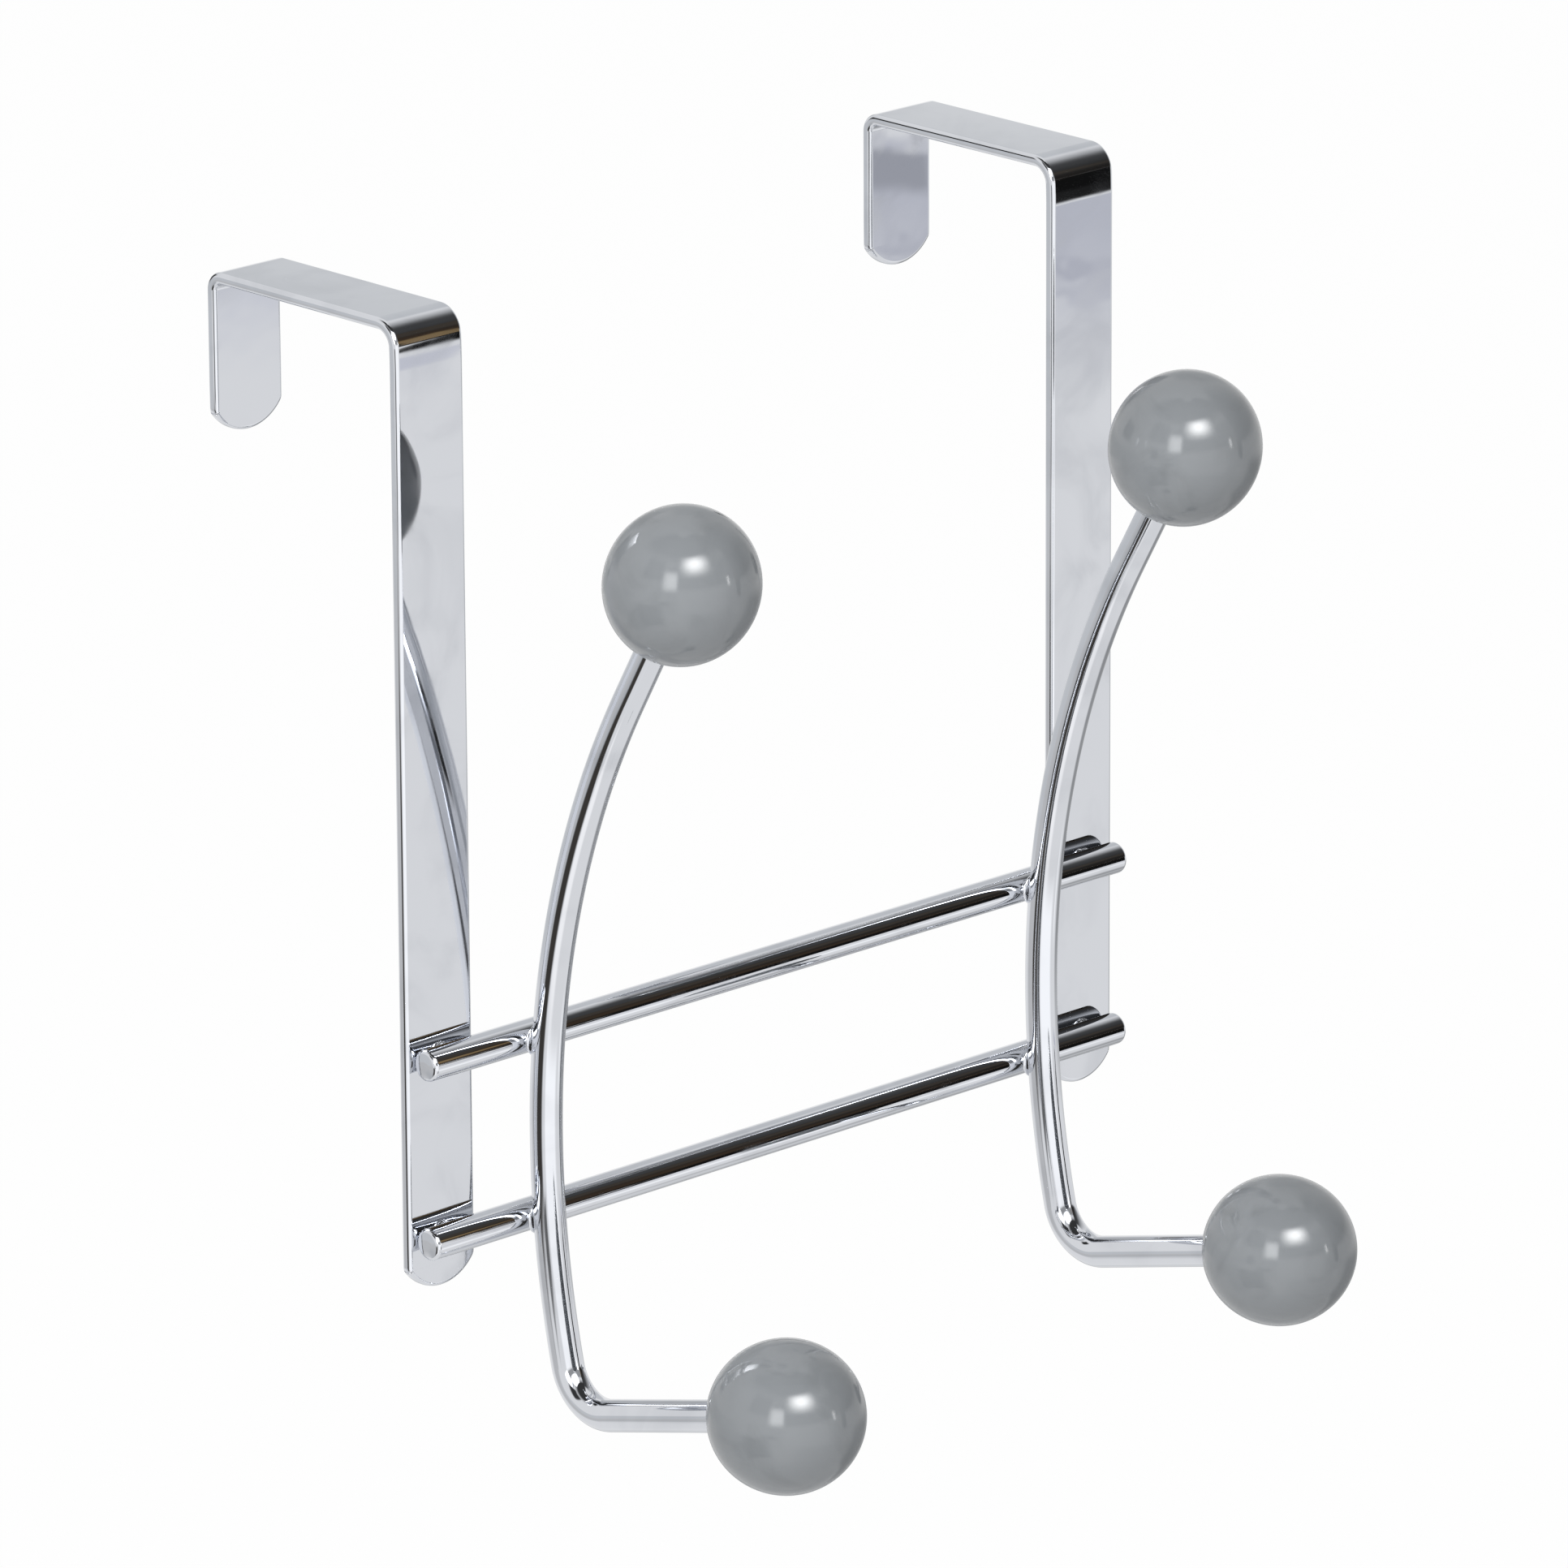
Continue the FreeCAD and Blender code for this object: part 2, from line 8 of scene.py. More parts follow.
# %% Load the measured model
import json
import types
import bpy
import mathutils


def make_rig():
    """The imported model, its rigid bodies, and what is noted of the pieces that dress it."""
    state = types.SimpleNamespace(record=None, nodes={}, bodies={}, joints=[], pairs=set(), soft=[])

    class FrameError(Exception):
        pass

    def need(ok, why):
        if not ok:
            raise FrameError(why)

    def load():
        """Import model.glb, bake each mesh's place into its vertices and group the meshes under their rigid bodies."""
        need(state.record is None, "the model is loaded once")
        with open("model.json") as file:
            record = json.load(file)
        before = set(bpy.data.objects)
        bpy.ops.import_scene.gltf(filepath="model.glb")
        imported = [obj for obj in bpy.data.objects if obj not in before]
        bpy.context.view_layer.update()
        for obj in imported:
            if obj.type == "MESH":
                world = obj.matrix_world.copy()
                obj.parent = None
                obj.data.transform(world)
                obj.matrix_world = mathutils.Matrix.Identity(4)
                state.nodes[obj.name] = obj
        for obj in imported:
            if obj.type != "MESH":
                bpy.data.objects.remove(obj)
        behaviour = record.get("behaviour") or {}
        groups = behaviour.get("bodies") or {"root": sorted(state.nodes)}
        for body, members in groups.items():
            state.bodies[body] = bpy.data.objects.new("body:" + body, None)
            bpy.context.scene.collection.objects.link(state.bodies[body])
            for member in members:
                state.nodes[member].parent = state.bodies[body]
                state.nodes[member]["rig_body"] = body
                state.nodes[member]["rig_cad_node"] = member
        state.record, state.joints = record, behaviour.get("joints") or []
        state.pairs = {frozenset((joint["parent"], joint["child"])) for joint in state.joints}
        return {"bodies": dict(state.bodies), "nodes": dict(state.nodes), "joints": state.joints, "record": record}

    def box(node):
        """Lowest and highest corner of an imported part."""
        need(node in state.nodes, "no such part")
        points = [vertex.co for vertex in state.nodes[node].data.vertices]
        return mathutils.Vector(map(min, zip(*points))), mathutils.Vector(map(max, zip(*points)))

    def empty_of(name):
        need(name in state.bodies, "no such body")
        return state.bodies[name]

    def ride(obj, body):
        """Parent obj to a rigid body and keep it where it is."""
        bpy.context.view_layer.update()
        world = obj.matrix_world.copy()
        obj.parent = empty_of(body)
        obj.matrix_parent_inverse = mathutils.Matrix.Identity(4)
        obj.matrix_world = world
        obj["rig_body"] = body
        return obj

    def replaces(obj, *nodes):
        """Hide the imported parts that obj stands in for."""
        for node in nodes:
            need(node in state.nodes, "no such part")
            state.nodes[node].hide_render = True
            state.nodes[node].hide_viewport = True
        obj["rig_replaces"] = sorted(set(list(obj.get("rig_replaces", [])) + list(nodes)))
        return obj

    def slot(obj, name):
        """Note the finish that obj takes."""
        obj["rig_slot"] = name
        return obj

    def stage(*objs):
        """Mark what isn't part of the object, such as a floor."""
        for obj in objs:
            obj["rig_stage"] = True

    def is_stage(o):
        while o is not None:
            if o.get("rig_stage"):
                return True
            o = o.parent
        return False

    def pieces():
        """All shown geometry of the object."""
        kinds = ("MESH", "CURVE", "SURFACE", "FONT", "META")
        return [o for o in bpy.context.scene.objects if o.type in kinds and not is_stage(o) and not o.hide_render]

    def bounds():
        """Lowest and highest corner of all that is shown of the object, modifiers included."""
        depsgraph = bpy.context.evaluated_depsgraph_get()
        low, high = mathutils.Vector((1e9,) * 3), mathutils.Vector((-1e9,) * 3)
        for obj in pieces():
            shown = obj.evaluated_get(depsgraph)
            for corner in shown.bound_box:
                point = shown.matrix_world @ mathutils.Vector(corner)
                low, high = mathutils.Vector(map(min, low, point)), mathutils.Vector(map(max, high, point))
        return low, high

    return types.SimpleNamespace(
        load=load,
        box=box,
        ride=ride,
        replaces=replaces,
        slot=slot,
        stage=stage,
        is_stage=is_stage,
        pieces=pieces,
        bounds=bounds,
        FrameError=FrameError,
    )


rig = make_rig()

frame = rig.load()

import json
from math import asin, atan2, cos, degrees, hypot, pi, radians, sin, sqrt, tan

import bpy
from mathutils import Quaternion, Vector

MM = 0.001
cad_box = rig.bounds()
nodes = frame["nodes"]
scene = bpy.context.scene
print("pieces of the measured model:", sorted(nodes))

# %% [markdown]
# The camera stands to the left of the rack and looks slightly down, through a long lens, so lines
# that run away from it stay almost parallel. Its place is given the way a photographer would
# note it: how far round, how high, how far away, and what it is pointed at.

# %% Camera
VIEW_ROUND = radians(-43.54)
VIEW_HEIGHT = radians(17.43)
VIEW_TILT = radians(-0.29)
VIEW_DISTANCE = 2.2109
VIEW_TARGET = Vector((0.00625, 0.0, -0.10432))
SENSOR_WIDTH = 36.0
LENS = 276.1


def direction(round_angle, height_angle):
    """The unit vector that points from the rack: 0 round is straight out of the door's front."""
    return Vector((sin(round_angle) * cos(height_angle),
                   -cos(round_angle) * cos(height_angle),
                   sin(height_angle)))


def add_camera():
    """A camera that looks at the target from the noted place and is turned by the tilt."""
    toward = direction(VIEW_ROUND, VIEW_HEIGHT)
    data = bpy.data.cameras.new("camera")
    data.sensor_width = SENSOR_WIDTH
    data.lens = LENS
    data.clip_start = 0.05
    data.clip_end = 40.0
    camera = bpy.data.objects.new("camera", data)
    scene.collection.objects.link(camera)
    camera.location = VIEW_TARGET + toward * VIEW_DISTANCE
    camera.rotation_mode = "QUATERNION"
    camera.rotation_quaternion = toward.to_track_quat("Z", "Y") @ Quaternion((0, 0, 1), VIEW_TILT)
    scene.camera = camera
    return camera


camera = add_camera()
print("camera at", [round(c, 3) for c in camera.location])

# %% [markdown]
# An operator acts on everything that is selected, and loading leaves the measured pieces selected.
# So each piece starts with nothing selected, and faces are picked in code by where they are.

# %% Picking and placing
def select_none():
    """Leave edit mode, if it is on, and select nothing."""
    if bpy.context.object and bpy.context.object.mode != "OBJECT":
        bpy.ops.object.mode_set(mode="OBJECT")
    bpy.ops.object.select_all(action="DESELECT")


def only(piece):
    """Make one piece the selected and active one."""
    select_none()
    piece.select_set(True)
    bpy.context.view_layer.objects.active = piece


def name_piece(name):
    """Name the piece that has just been added."""
    piece = bpy.context.object
    piece.name = name
    piece.data.name = name
    return piece


def apply_place(piece):
    """Bring a piece's place and size into its mesh, so that its object sits at the origin."""
    only(piece)
    bpy.ops.object.transform_apply(location=True, rotation=True, scale=True)


def middle_of(node):
    """The middle of a measured piece's box."""
    low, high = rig.box(node)
    return (low + high) / 2


print("measured size in mm:", [round((high - low) / MM, 1) for low, high in zip(*cad_box)])

# %% [markdown]
# Real edges are never quite sharp: grinding, plating and moulding leave them a little round, and
# the round catches a thin line of light. A bevel makes it, on edges picked by how sharp they are.
# A modifier could stay open to change, but here each one is applied at once, because the next step
# builds on its result. Smooth shading then hides the small flat faces that a round shape is made of.

# %% Rounding and shading
LARGE_FACE_WEIGHT = 80


def finish_with(piece, kind, **settings):
    """Put a modifier on a piece and apply it."""
    only(piece)
    modifier = piece.modifiers.new(kind.title(), kind)
    for key, value in settings.items():
        setattr(modifier, key, value)
    bpy.ops.object.modifier_apply(modifier=modifier.name)


def round_edges(piece, width, segments, sharper_than):
    """Round all edges that are sharper than an angle in degrees."""
    finish_with(piece, "BEVEL", width=width, segments=segments, limit_method="ANGLE",
                angle_limit=radians(sharper_than), use_clamp_overlap=False)


def smooth(piece, sharp_above=35):
    """Shade smooth, but keep edges crisp that turn by more than an angle in degrees."""
    only(piece)
    bpy.ops.object.shade_smooth_by_angle(angle=radians(sharp_above))


def weigh_shading(piece):
    """Let the large faces rule the shading, so that the small ones beside them don't tilt it."""
    finish_with(piece, "WEIGHTED_NORMAL", weight=LARGE_FACE_WEIGHT)

# %% [markdown]
# Each new piece stands for one of the measured ones: it moves with the same body, takes that
# piece's place and says which finish it wears. Its box is compared with the measured one, so that
# a slip in a size shows at once.

# %% Handing a piece over
pieces = {}


def report(piece, node):
    """Print how far the piece's box is from the measured one, in millimetres."""
    low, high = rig.box(node)
    corners = [vertex.co for vertex in piece.data.vertices]
    gaps = [max(abs(min(c[i] for c in corners) - low[i]), abs(max(c[i] for c in corners) - high[i]))
            for i in range(3)]
    print(f"{piece.name}: {len(corners)} points, box within {max(gaps) / MM:.2f} mm of {node}")


def hand_over(piece, node, slot):
    """Let the piece move with the rack, stand for a measured one and wear a finish."""
    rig.ride(piece, "root")
    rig.replaces(piece, node)
    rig.slot(piece, slot)
    pieces[piece.name] = piece
    report(piece, node)

# %% [markdown]
# The rails are plain round bars, cut to length, with their ends ground round so that no edge
# scratches. A cylinder is the right start, with a round bevel on its rims. Its end faces are inset
# and drawn out a trace, because a ground end is never quite flat and a flat one would mirror a
# single spot of the room. The small faces of the rims would tilt the shading of the long sides, so
# the shading is weighted by face size, and the sides stay straight mirrors.

# %% Rails
RAIL_RADIUS = 3.0 * MM
RAIL_ROUNDING = 0.8 * MM
RAIL_DOME = 0.15 * MM
END_FACING = 0.999
ROUND_STEPS = 64
# Each step of the domed end: how far it goes inwards, and its share of the dome's height
DOME_STEPS = ((0.9 * MM, 0.7), (0.7 * MM, 0.3))


def make_rail(name, node):
    """A round bar as long as the measured one, with rounded and slightly domed ends."""
    low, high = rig.box(node)
    select_none()
    bpy.ops.mesh.primitive_cylinder_add(vertices=ROUND_STEPS, radius=RAIL_RADIUS,
                                        depth=high.x - low.x - 2 * RAIL_DOME,
                                        location=middle_of(node), rotation=(0, pi / 2, 0))
    rail = name_piece(name)
    apply_place(rail)
    round_edges(rail, RAIL_ROUNDING, segments=6, sharper_than=60)
    for face in rail.data.polygons:
        face.select = abs(face.normal.x) > END_FACING
    bpy.ops.object.mode_set(mode="EDIT")
    bpy.ops.mesh.select_mode(type="FACE")
    for inward, share in DOME_STEPS:
        bpy.ops.mesh.inset(thickness=inward, depth=share * RAIL_DOME)
    bpy.ops.object.mode_set(mode="OBJECT")
    smooth(rail)
    weigh_shading(rail)
    hand_over(rail, node, "chrome")


for level in ("upper", "lower"):
    make_rail(f"rail_{level}", f"{level}_rail")

# %% [markdown]
# Strips and wires are long pieces of one section, and a sweep makes them: the section is drawn
# straight on by an extrude or carried round a bend by a spin, and it leaves faces all along its
# way. Where two steps meet, points can lie double, so they are merged after the last step.

# %% Sweeping
MERGE_DISTANCE = 0.002 * MM


def extrude(*move):
    """Draw the selection straight on."""
    bpy.ops.mesh.extrude_region_move(TRANSFORM_OT_translate={"value": move})


def spin(centre, angle, steps):
    """Carry the selection round an axis that runs along the rails."""
    bpy.ops.mesh.spin(steps=steps, angle=angle, center=centre, axis=(1, 0, 0))


def tidy(piece):
    """Merge what a sweep left doubled and turn every face outwards."""
    only(piece)
    bpy.ops.object.mode_set(mode="EDIT")
    bpy.ops.mesh.select_all(action="SELECT")
    bpy.ops.mesh.remove_doubles(threshold=MERGE_DISTANCE)
    bpy.ops.mesh.normals_make_consistent(inside=False)
    bpy.ops.object.mode_set(mode="OBJECT")


def join_to(piece, *parts):
    """Make the parts one with the piece."""
    only(piece)
    for part in parts:
        part.select_set(True)
    bpy.ops.object.join()

# %% [markdown]
# Each strip is one length of flat steel, folded twice over the door, with both ends punched to a
# shallow curve. Sheet metal is easiest as a sheet: only the outer skin is drawn. It starts as a
# disc cut down to the punched end, whose top edge is drawn up the leg, swept round the bends and
# drawn down to a second end. A fold springs back a little, so the leg leans over by a few degrees
# just under it, which chrome shows at once. Then comes the thickness, and last the eased edges.

# %% Strips
STRAP_WIDTH = 16.0 * MM
STRAP_THICK = 2.2 * MM
DOOR_GAP = 46.5 * MM
BACK_LEG = 28.5 * MM
FRONT_BEND = 3.0 * MM
BACK_BEND = 1.4 * MM
TIP_RADIUS = 9.5 * MM
EASED = 0.8 * MM
LEAN_LENGTH = 4.25 * MM
LEAN_ANGLE = radians(2.8)
TIP_STEPS = 240
LEAN_STEPS = 8
BEND_STEPS = 24
SAME_LEVEL = 0.001 * MM


def add_tip(centre_x, y, end_z):
    """A disc cut down to the curved end of a leg, up to the height of the disc's centre."""
    centre_z = end_z + TIP_RADIUS
    select_none()
    bpy.ops.mesh.primitive_circle_add(vertices=TIP_STEPS, radius=TIP_RADIUS, fill_type="NGON",
                                      location=(centre_x, y, centre_z), rotation=(pi / 2, 0, 0))
    tip = name_piece("tip")
    apply_place(tip)
    bpy.ops.object.mode_set(mode="EDIT")
    cuts = (((centre_x, y, centre_z), (0, 0, 1)),
            ((centre_x + STRAP_WIDTH / 2, y, centre_z), (1, 0, 0)),
            ((centre_x - STRAP_WIDTH / 2, y, centre_z), (-1, 0, 0)))
    for place, normal in cuts:
        bpy.ops.mesh.select_all(action="SELECT")
        bpy.ops.mesh.bisect(plane_co=place, plane_no=normal, clear_outer=True)
    bpy.ops.object.mode_set(mode="OBJECT")
    return tip


def select_level(piece, z):
    """In edit mode, select just the edge or face whose points all lie at one height."""
    bpy.ops.mesh.select_all(action="DESELECT")
    bpy.ops.object.mode_set(mode="OBJECT")
    for vertex in piece.data.vertices:
        vertex.select = abs(vertex.co.z - z) < SAME_LEVEL
    bpy.ops.object.mode_set(mode="EDIT")


def make_strap(name, node):
    """A folded strip with its outer skin drawn first, from the front end over the door to the back."""
    centre_x = middle_of(node).x
    skin_y = -STRAP_THICK
    front_end, back_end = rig.box(node)[0].z, -BACK_LEG
    strap = add_tip(centre_x, skin_y, front_end)
    strap.name = strap.data.name = name
    bpy.ops.object.mode_set(mode="EDIT")
    bpy.ops.mesh.select_mode(type="VERT")
    leg_start = front_end + TIP_RADIUS
    # The lean is a wide arc of its own that ends, without a kink, where the fold begins
    lean_radius = LEAN_LENGTH / LEAN_ANGLE
    fold_radius = FRONT_BEND + STRAP_THICK
    lean_start = -FRONT_BEND + fold_radius * sin(LEAN_ANGLE) - lean_radius * sin(LEAN_ANGLE)
    fold_y = skin_y + lean_radius - (lean_radius - fold_radius) * cos(LEAN_ANGLE)
    select_level(strap, leg_start)
    extrude(0, 0, lean_start - leg_start)
    spin((centre_x, skin_y + lean_radius, lean_start), LEAN_ANGLE, LEAN_STEPS)
    spin((centre_x, fold_y, -FRONT_BEND), pi / 2 - LEAN_ANGLE, BEND_STEPS)
    extrude(0, DOOR_GAP - BACK_BEND - fold_y, 0)
    spin((centre_x, DOOR_GAP - BACK_BEND, -BACK_BEND), pi / 2, BEND_STEPS)
    extrude(0, 0, back_end + TIP_RADIUS + BACK_BEND)
    bpy.ops.object.mode_set(mode="OBJECT")
    back_tip = add_tip(centre_x, DOOR_GAP + STRAP_THICK, back_end)
    join_to(strap, back_tip)
    tidy(strap)
    finish_with(strap, "SOLIDIFY", thickness=STRAP_THICK, offset=-1, use_even_offset=True)
    round_edges(strap, EASED, segments=4, sharper_than=30)
    smooth(strap)
    weigh_shading(strap)
    return strap


straps = {side: make_strap(f"strap_{side}", f"{side}_strap") for side in ("left", "right")}
print("strips folded:", sorted(straps), "each", STRAP_WIDTH / MM, "mm wide")

# %% [markdown]
# A rail touches a flat strip along a line, and the weld squeezes a little molten metal out there.
# It sets as a small lumpy button in the gap. A ball shape is pressed flat and its points are
# moved a little at random, with a fixed seed so that it comes out the same each time.

# %% Weld nuggets behind the rails
NUGGET_RADIUS = 2.6 * MM
NUGGET_HALF_THICK = 1.2 * MM
LUMPS = 0.10 * MM
RAIL_LEVELS = (middle_of("upper_rail").z, middle_of("lower_rail").z)
RAIL_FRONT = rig.box("upper_rail")[0].y


def add_bead(place, half_sizes, seed):
    """A flattened, slightly uneven bead of weld metal."""
    select_none()
    bpy.ops.mesh.primitive_uv_sphere_add(segments=20, ring_count=12, radius=1, location=place)
    bead = name_piece("bead")
    bead.scale = half_sizes
    apply_place(bead)
    bpy.ops.object.mode_set(mode="EDIT")
    bpy.ops.mesh.select_all(action="SELECT")
    bpy.ops.transform.vertex_random(offset=LUMPS, uniform=0.2, normal=0.8, seed=seed)
    bpy.ops.object.mode_set(mode="OBJECT")
    finish_with(bead, "SUBSURF", levels=1, render_levels=1)
    smooth(bead, 180)
    return bead


def weld_at_rails(piece, x, y, radius, half_thick, seed):
    """Give the piece one bead at the height of each rail."""
    beads = [add_bead((x, y, level), (radius, half_thick, radius), seed + number)
             for number, level in enumerate(RAIL_LEVELS)]
    join_to(piece, *beads)


for side, seed in (("left", 1), ("right", 5)):
    node = f"{side}_strap"
    weld_at_rails(straps[side], middle_of(node).x, -STRAP_THICK, NUGGET_RADIUS,
                  NUGGET_HALF_THICK, seed)
    hand_over(straps[side], node, "chrome")

# %% [markdown]
# A hook is one wire, bent in a single plane: a straight top, a long bow, a gentler bow, a tight
# foot and a straight arm. A disc with the wire's section is swept along that line, each bend
# about its own centre, so all the pieces of the line join without a kink.

# %% Hook wires
WIRE_RADIUS = 3.0 * MM
HOOK_SINK = 0.3 * MM
STEM_RISE = 110.6 * MM
STEM_STRAIGHT = 28.0 * MM
STEM_BOW = 173.0 * MM
FOOT_DROP = 43.6 * MM
FOOT_BOW = 190.0 * MM
FOOT_BEND = 9.3 * MM
ARM_RISE = radians(14.7)
ARM_REACH = 62.6 * MM

half_pitch = (RAIL_LEVELS[0] - RAIL_LEVELS[1]) / 2
bow_at_rail = STEM_BOW - sqrt(STEM_BOW ** 2 - half_pitch ** 2)
waist = Vector((0, RAIL_FRONT - WIRE_RADIUS + HOOK_SINK + bow_at_rail, sum(RAIL_LEVELS) / 2))
lean = asin(STEM_RISE / hypot(STEM_BOW, STEM_STRAIGHT)) - atan2(STEM_STRAIGHT, STEM_BOW)
tuck = asin(FOOT_DROP / FOOT_BOW)
bow_centre = waist - Vector((0, STEM_BOW, 0))
foot_bow_centre = waist - Vector((0, FOOT_BOW, 0))
down_stem = Vector((0, sin(lean), -cos(lean)))
wire_top = bow_centre + STEM_BOW * Vector((0, cos(lean), sin(lean))) - STEM_STRAIGHT * down_stem
foot_centre = foot_bow_centre + (FOOT_BOW - FOOT_BEND) * Vector((0, cos(tuck), -sin(tuck)))
along_arm = Vector((0, -cos(ARM_RISE), sin(ARM_RISE)))
arm_start = foot_centre + FOOT_BEND * Vector((0, -sin(ARM_RISE), -cos(ARM_RISE)))
arm_length = (arm_start.y - waist.y + ARM_REACH) / cos(ARM_RISE)
arm_end = arm_start + along_arm * arm_length
print(f"stem leans {degrees(lean):.1f} degrees, arm is {arm_length / MM:.1f} mm long")


def make_wire(name, centre_x):
    """Sweep a disc from the wire's top end down the stem and round the foot to the arm's end."""
    across = Vector((centre_x, 0, 0))
    select_none()
    bpy.ops.mesh.primitive_circle_add(vertices=ROUND_STEPS, radius=WIRE_RADIUS, fill_type="NGON",
                                      location=across + wire_top, rotation=(lean, 0, 0))
    wire = name_piece(name)
    apply_place(wire)
    bpy.ops.object.mode_set(mode="EDIT")
    bpy.ops.mesh.select_all(action="SELECT")
    extrude(*(STEM_STRAIGHT * down_stem))
    spin(across + bow_centre, lean, steps=40)
    spin(across + foot_bow_centre, tuck, steps=20)
    spin(across + foot_centre, pi / 2 + ARM_RISE - tuck, steps=32)
    extrude(*(arm_length * along_arm))
    tidy(wire)
    smooth(wire)
    return wire

# %% [markdown]
# Where a wire crosses a rail, the two round bars sink a little into each other and a thin collar
# of metal is pressed out around the spot. It is the small bright mark beside each crossing.

# %% Weld flash at the crossings
FLASH_RADIUS = 3.1 * MM
FLASH_HALF_THICK = 0.7 * MM

for side, seed in (("left", 11), ("right", 21)):
    node = f"{side}_hook"
    centre_x = middle_of(node).x
    wire = make_wire(f"hook_{side}", centre_x)
    weld_at_rails(wire, centre_x, RAIL_FRONT, FLASH_RADIUS, FLASH_HALF_THICK, seed)
    hand_over(wire, node, "chrome")

# %% [markdown]
# The balls are moulded, a little longer than they are wide, with a small flat where the wire goes
# in. A ball is cut off at that flat, and the new face is inset and pushed in for the bore, so a
# fine dark ring shows round the wire.

# %% Balls
BALL_RADIUS = 14.1 * MM
BALL_HALF_LENGTH = 14.7 * MM
FLAT_RADIUS = 4.0 * MM
BORE_RADIUS = 3.05 * MM
BORE_ROUNDING = 0.25 * MM


def make_ball(name, node, centre, axis_lean):
    """A ball whose bore points down its own axis, leaned about the rails' direction."""
    flat = BALL_HALF_LENGTH * sqrt(1 - (FLAT_RADIUS / BALL_RADIUS) ** 2)
    select_none()
    bpy.ops.mesh.primitive_uv_sphere_add(segments=96, ring_count=64, radius=BALL_RADIUS)
    ball = name_piece(name)
    ball.scale = (1, 1, BALL_HALF_LENGTH / BALL_RADIUS)
    apply_place(ball)
    bpy.ops.object.mode_set(mode="EDIT")
    bpy.ops.mesh.select_all(action="SELECT")
    bpy.ops.mesh.bisect(plane_co=(0, 0, -flat), plane_no=(0, 0, -1), use_fill=True,
                        clear_outer=True)
    bpy.ops.mesh.select_mode(type="FACE")
    bpy.ops.mesh.inset(thickness=FLAT_RADIUS - BORE_RADIUS)
    extrude(0, 0, flat)
    bpy.ops.object.mode_set(mode="OBJECT")
    round_edges(ball, BORE_ROUNDING, segments=3, sharper_than=25)
    ball.location = (middle_of(node).x, centre.y, centre.z)
    ball.rotation_euler = (axis_lean, 0, 0)
    apply_place(ball)
    smooth(ball)
    hand_over(ball, node, "ball")


for side in ("left", "right"):
    make_ball(f"ball_{side}_upper", f"{side}_upper_ball", wire_top, lean)
    make_ball(f"ball_{side}_lower", f"{side}_lower_ball", arm_end, pi / 2 - ARM_RISE)

# %% [markdown]
# Real chrome is never quite even: it has faint smears from hands and a very slight waviness left
# by the polishing wheel. The plastic has the same two marks at another size. So they are one node
# group with its own values in each material. It puts out a roughness, a height for the bump and a
# mask of the smears, and nothing else, because the shader itself has to stay in the material.

# %% Surface marks group
def add_socket(group, name, into, value=None):
    """Give the group a number that goes into it or comes out of it."""
    socket = group.interface.new_socket(name=name, in_out="INPUT" if into else "OUTPUT",
                                        socket_type="NodeSocketFloat")
    if value is not None:
        socket.default_value = value


def make_marks_group():
    """Two noises: one gives the smears and so the roughness, the other the waves of the bump."""
    group = bpy.data.node_groups.new("surface_marks", "ShaderNodeTree")
    for name, value in (("Smear Size", 60.0), ("Wave Size", 90.0), ("Low Roughness", 0.02),
                        ("High Roughness", 0.08), ("Wave Height", 0.5)):
        add_socket(group, name, True, value)
    for name in ("Roughness", "Height", "Smears"):
        add_socket(group, name, False)
    new, link = group.nodes.new, group.links.new
    given, result = new("NodeGroupInput"), new("NodeGroupOutput")
    place = new("ShaderNodeTexCoord")
    smear, wave = new("ShaderNodeTexNoise"), new("ShaderNodeTexNoise")
    smear.inputs["Detail"].default_value = 4.0
    smear.inputs["Distortion"].default_value = 1.2
    wave.inputs["Detail"].default_value = 1.0
    mask = new("ShaderNodeMapRange")
    mask.interpolation_type = "SMOOTHSTEP"
    mask.inputs["From Min"].default_value = 0.45
    mask.inputs["From Max"].default_value = 0.75
    spread = new("ShaderNodeMapRange")
    height = new("ShaderNodeMath")
    height.operation = "MULTIPLY"
    link(place.outputs["Object"], smear.inputs["Vector"])
    link(place.outputs["Object"], wave.inputs["Vector"])
    link(given.outputs["Smear Size"], smear.inputs["Scale"])
    link(given.outputs["Wave Size"], wave.inputs["Scale"])
    link(smear.outputs["Fac"], mask.inputs["Value"])
    link(mask.outputs["Result"], spread.inputs["Value"])
    link(given.outputs["Low Roughness"], spread.inputs["To Min"])
    link(given.outputs["High Roughness"], spread.inputs["To Max"])
    link(wave.outputs["Fac"], height.inputs[0])
    link(given.outputs["Wave Height"], height.inputs[1])
    link(spread.outputs["Result"], result.inputs["Roughness"])
    link(height.outputs["Value"], result.inputs["Height"])
    link(mask.outputs["Result"], result.inputs["Smears"])
    return group


marks_group = make_marks_group()


def add_marks(material, shader, clean_colour, smeared_colour, **values):
    """Place the group in a material and lead it to colour, roughness and bump."""
    new, link = material.node_tree.nodes.new, material.node_tree.links.new
    marks, bump, tone = new("ShaderNodeGroup"), new("ShaderNodeBump"), new("ShaderNodeMix")
    marks.node_tree = marks_group
    for key, value in values.items():
        marks.inputs[key.replace("_", " ").title()].default_value = value
    tone.data_type = "RGBA"
    tone.inputs["A"].default_value = (*clean_colour, 1)
    tone.inputs["B"].default_value = (*smeared_colour, 1)
    bump.inputs["Strength"].default_value = 1.0
    bump.inputs["Distance"].default_value = 0.01 * MM
    link(marks.outputs["Smears"], tone.inputs["Factor"])
    link(tone.outputs["Result"], shader.inputs["Base Color"])
    link(marks.outputs["Roughness"], shader.inputs["Roughness"])
    link(marks.outputs["Height"], bump.inputs["Height"])
    link(bump.outputs["Normal"], shader.inputs["Normal"])


